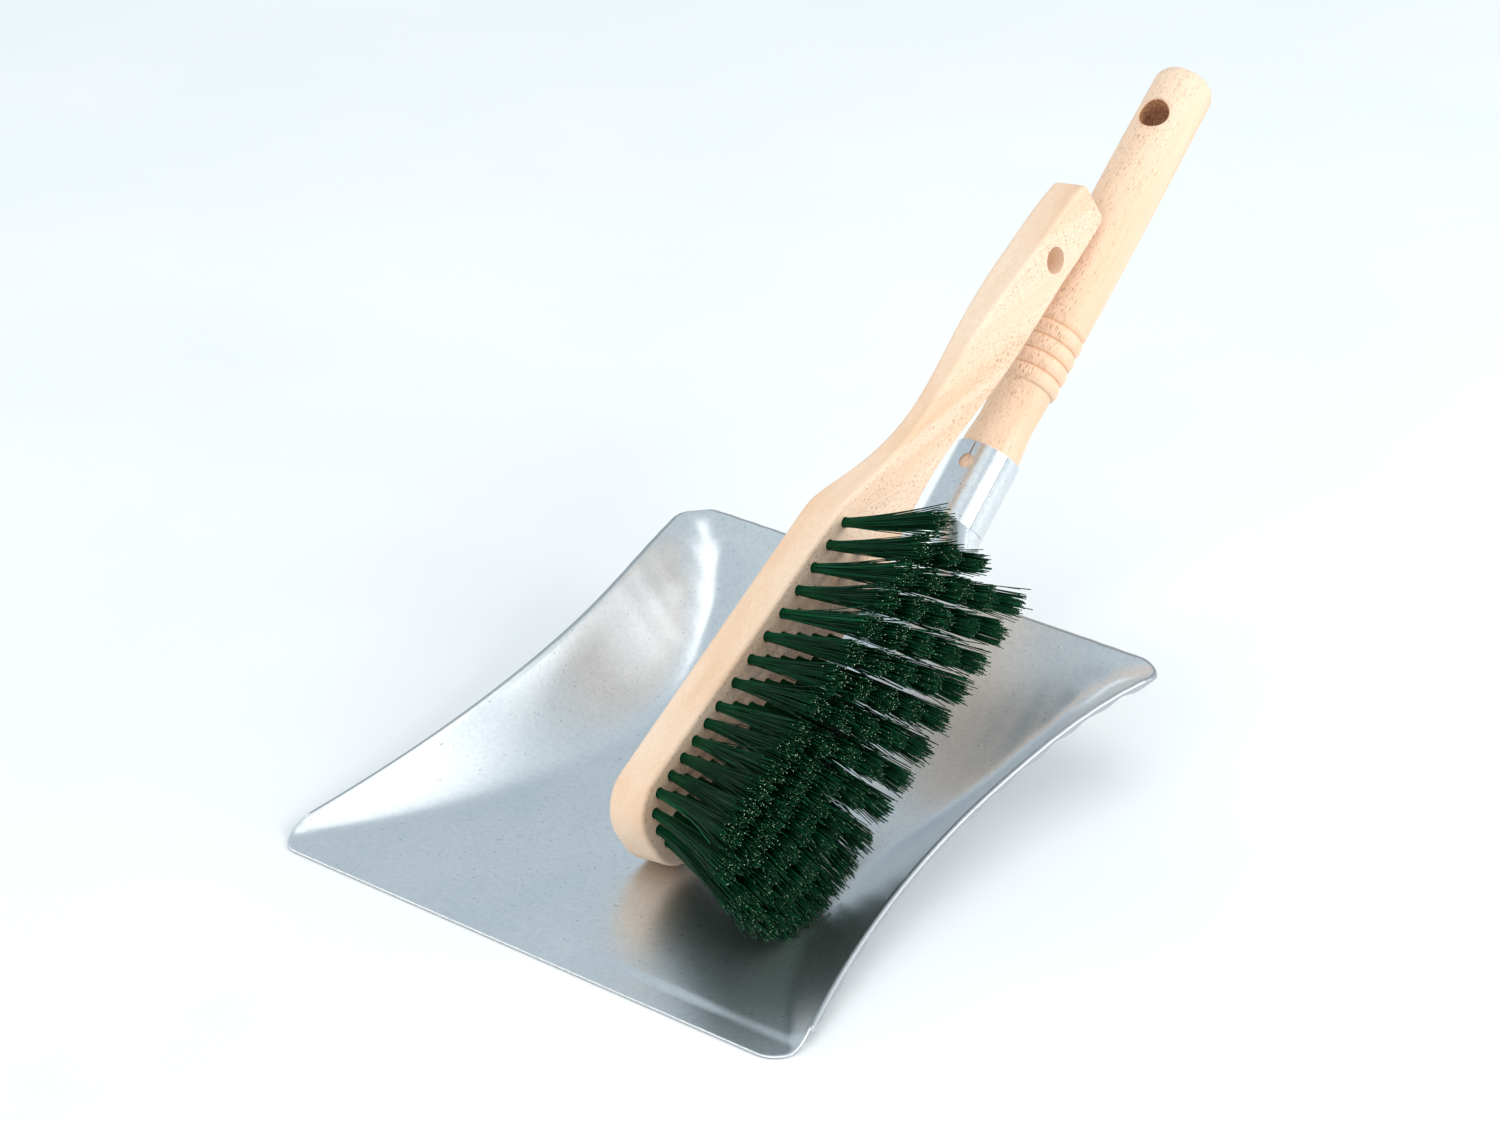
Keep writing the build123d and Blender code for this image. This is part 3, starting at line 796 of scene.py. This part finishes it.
def filament_paths(chance, along, across):
    """Points along every filament of one tuft, from inside its blind hole to its tip."""
    base = brush_point(along, across, 0.0)
    tip = tip_centre(along, across)
    lean = unit(tip - base)
    side_a = unit(np.cross(lean, up_axis))
    side_b = np.cross(lean, side_a)

    # the filaments fill a disk at the root and a wider one at the tip
    index = np.arange(FILAMENTS)
    radius = np.sqrt((index + 0.5) / FILAMENTS)
    golden = math.pi * (3 - math.sqrt(5))
    angle = index * golden + chance.uniform(0, 6.28)
    disk_a = radius * np.cos(angle)
    disk_b = radius * np.sin(angle)
    root = base + BASE_RADIUS * (disk_a[:, None] * side_a + disk_b[:, None] * side_b)
    root = root - out_axis * np.sum((root - base) * out_axis, axis=1)[:, None]
    spread = TIP_SPREAD * chance.normal(1.0, 0.22, FILAMENTS)
    loose = chance.random(FILAMENTS) < LOOSE_SHARE
    spread = spread + loose * chance.uniform(0.5, 3.5, FILAMENTS)
    end = tip + (disk_a * spread)[:, None] * side_a + (disk_b * spread)[:, None] * side_b
    end = end + chance.normal(0, 0.75, (FILAMENTS, 3))
    end = end + lean * chance.normal(0, 0.9, FILAMENTS)[:, None] - lean * (radius ** 2 * TIP_DOME)[:, None]
    end = end + lean * (loose * chance.uniform(-4.0, 2.2, FILAMENTS))[:, None]

    # each one leaves the wood nearly square to it and bends a little towards its tip
    control = root + (0.22 * out_axis + 0.78 * lean) * BRISTLE_LENGTH * 0.42
    control = control + (disk_a * 0.9)[:, None] * side_a + (disk_b * 0.9)[:, None] * side_b
    control = control + chance.normal(0, 0.55, (FILAMENTS, 3))
    w = np.linspace(0, 1, FILAMENT_POINTS - 1)[None, :, None]
    path = (1 - w) ** 2 * root[:, None] + 2 * w * (1 - w) * control[:, None] + w ** 2 * end[:, None]
    sunk = root - out_axis * ROOT_DEPTH
    return np.concatenate([sunk[:, None], path], axis=1)


def lay_on_pan(chance, path):
    """Lifts the points that would pass through the pan, but not the two in and at the wood."""
    clearance = 0.3 + 0.5 * chance.random((FILAMENTS, 1))
    floor = pan_top(path[..., 0], path[..., 1]) + clearance
    low = path[..., 2] < floor
    low[:, :2] = False
    path[..., 2] = np.where(low, floor, path[..., 2])


def filament_tubes(chance, path):
    """Three-sided tubes round the paths."""
    direction = unit(np.gradient(path, axis=1))
    first = unit(np.cross(direction, along_axis))
    second = np.cross(direction, first)
    thick = FILAMENT_RADIUS * chance.uniform(0.88, 1.12, FILAMENTS)[:, None, None]
    corners = []
    for k in range(FILAMENT_SIDES):
        turn = 2 * math.pi * k / FILAMENT_SIDES
        corners.append(path + thick * (first * math.cos(turn) + second * math.sin(turn)))
    return np.stack(corners, axis=2).reshape(-1, 3)


def filament_colours(chance):
    """For every tube point: red holds its filament's shade, green its place along the filament."""
    colour = np.ones((FILAMENTS, FILAMENT_POINTS, FILAMENT_SIDES, 4))
    colour[..., 0] = chance.beta(1.6, 2.6, FILAMENTS)[:, None, None]
    colour[..., 1] = np.linspace(0, 1, FILAMENT_POINTS)[None, :, None]
    colour[..., 2] = 0.0
    return colour.reshape(-1, 4)


def filament_faces(offset):
    """Side faces of one tube, then its cut end."""
    faces = []
    for j in range(FILAMENT_POINTS - 1):
        a = offset + j * FILAMENT_SIDES
        b = a + FILAMENT_SIDES
        for k in range(FILAMENT_SIDES):
            m = (k + 1) % FILAMENT_SIDES
            faces.append((a + k, a + m, b + m, b + k))
    last = offset + (FILAMENT_POINTS - 1) * FILAMENT_SIDES
    faces.append(tuple(range(last, last + FILAMENT_SIDES)))
    return faces


def build_tufts(bases, seed):
    """Vertices, faces, marks and colours of the tufts at the given places along and across the brush."""
    chance = np.random.default_rng(seed)
    vertices = []
    colours = []
    for along, across in bases:
        path = filament_paths(chance, along, across)
        lay_on_pan(chance, path)
        vertices.append(filament_tubes(chance, path))
        colours.append(filament_colours(chance))
    faces = []
    marks = []
    per_filament = FILAMENT_POINTS * FILAMENT_SIDES
    for n in range(len(bases) * FILAMENTS):
        sides_and_end = filament_faces(n * per_filament)
        faces += sides_and_end
        marks += [0] * (len(sides_and_end) - 1) + [1]
    return np.concatenate(vertices), faces, marks, np.concatenate(colours)


def column_place(column):
    close = min(column, CLOSE_COLUMNS)
    return FIRST_COLUMN + CLOSE_PITCH * close + WIDE_PITCH * (column - close)


def column_tufts(column):
    """Places of one column's tufts: every second row sits half a pitch back."""
    places = []
    for row in range(ROW_COUNT):
        across = (row - (ROW_COUNT - 1) / 2) * ROW_PITCH
        if row % 2 == 0:
            places.append((column_place(column), across))
        elif column < COLUMN_COUNT - 1:
            places.append(((column_place(column) + column_place(column + 1)) / 2, across))
    return places


tuft_sets = {"front_arc": FRONT_ARC}
for column in range(COLUMN_COUNT):
    tuft_sets[f"column_{column + 1:02d}"] = column_tufts(column)

for number, (set_name, bases) in enumerate(tuft_sets.items()):
    points, polygons, marks, colours = build_tufts(bases, FIRST_SEED + number)
    bristles = add_piece(f"bristles_{set_name}", points, polygons, marks,
                         [bristle_material, bristle_end_material], "brush", "bristles")
    layer = bristles.data.color_attributes.new("filament", "FLOAT_COLOR", "POINT")
    layer.data.foreach_set("color", colours.ravel())
    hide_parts(f"tufts_{set_name}")

# ------------------------------------------------------------ floor, light and camera, in metres
FLOOR_REACH = 6.0
FLOOR_DROP = 0.0004              # keeps the floor just clear of the pan's underside


def build_floor():
    """A plain pale studio floor."""
    g = Graph("studio_floor")
    clouds = g.noise(g.object_point, scale=6.0, detail=3.0)
    g.set(
        Base_Color=g.ramp(clouds, [(0.3, srgb(243, 244, 245)), (0.7, srgb(248, 248, 248))]),
        Roughness=g.math("ADD", g.math("MULTIPLY", clouds, 0.1), 0.7),
    )
    mesh = bpy.data.meshes.new("studio_floor")
    reach = FLOOR_REACH
    corners = [(-reach, -reach, 0), (reach, -reach, 0), (reach, reach, 0), (-reach, reach, 0)]
    mesh.from_pydata(corners, [], [(0, 1, 2, 3)])
    mesh.materials.append(g.material)
    floor_piece = bpy.data.objects.new("studio_floor", mesh)
    floor_piece.location.z = -FLOOR_DROP
    bpy.context.scene.collection.objects.link(floor_piece)


def light_world(colour, strength):
    world = bpy.data.worlds.new("studio")
    bpy.context.scene.world = world
    world.use_nodes = True
    background = world.node_tree.nodes["Background"]
    background.inputs["Color"].default_value = (*colour, 1)
    background.inputs["Strength"].default_value = strength


def look_at(thing, place, aim):
    thing.location = place
    thing.rotation_euler = (Vector(aim) - Vector(place)).to_track_quat("-Z", "Y").to_euler()


def soft_light(name, place, aim, width, height, power, colour):
    data = bpy.data.lights.new(name, "AREA")
    data.shape = "RECTANGLE"
    data.size = width
    data.size_y = height
    data.energy = power
    data.color = colour
    lamp = bpy.data.objects.new(name, data)
    bpy.context.scene.collection.objects.link(lamp)
    look_at(lamp, place, aim)


def set_camera(place, aim, lens):
    data = bpy.data.cameras.new("camera")
    data.lens = lens
    data.sensor_width = 36.0
    data.clip_end = 50
    camera = bpy.data.objects.new("camera", data)
    bpy.context.scene.collection.objects.link(camera)
    look_at(camera, place, aim)
    bpy.context.scene.camera = camera


build_floor()
light_world((0.76, 0.87, 0.94), 0.78)
soft_light("top", (0.6, 0.1, 2.7), (0, 0.05, 0), 1.8, 1.8, 12, (1.0, 0.96, 0.91))
soft_light("right", (2.1, 0.75, 1.2), (0, 0.05, 0.05), 1.6, 1.2, 34, (1.0, 0.98, 0.96))
soft_light("front", (0.4, -2.4, 1.5), (0, 0.05, 0.05), 1.8, 1.4, 19, (1.0, 0.96, 0.91))
soft_light("front_left", (-1.9, -1.6, 0.7), (0, 0.05, 0.05), 1.3, 0.9, 11, (1.0, 0.97, 0.93))
set_camera(place=(0.7276, -0.9096, 0.6984), aim=(-0.0237, 0.0585, 0.0713), lens=95.6)
bpy.context.scene.view_settings.view_transform = "Standard"
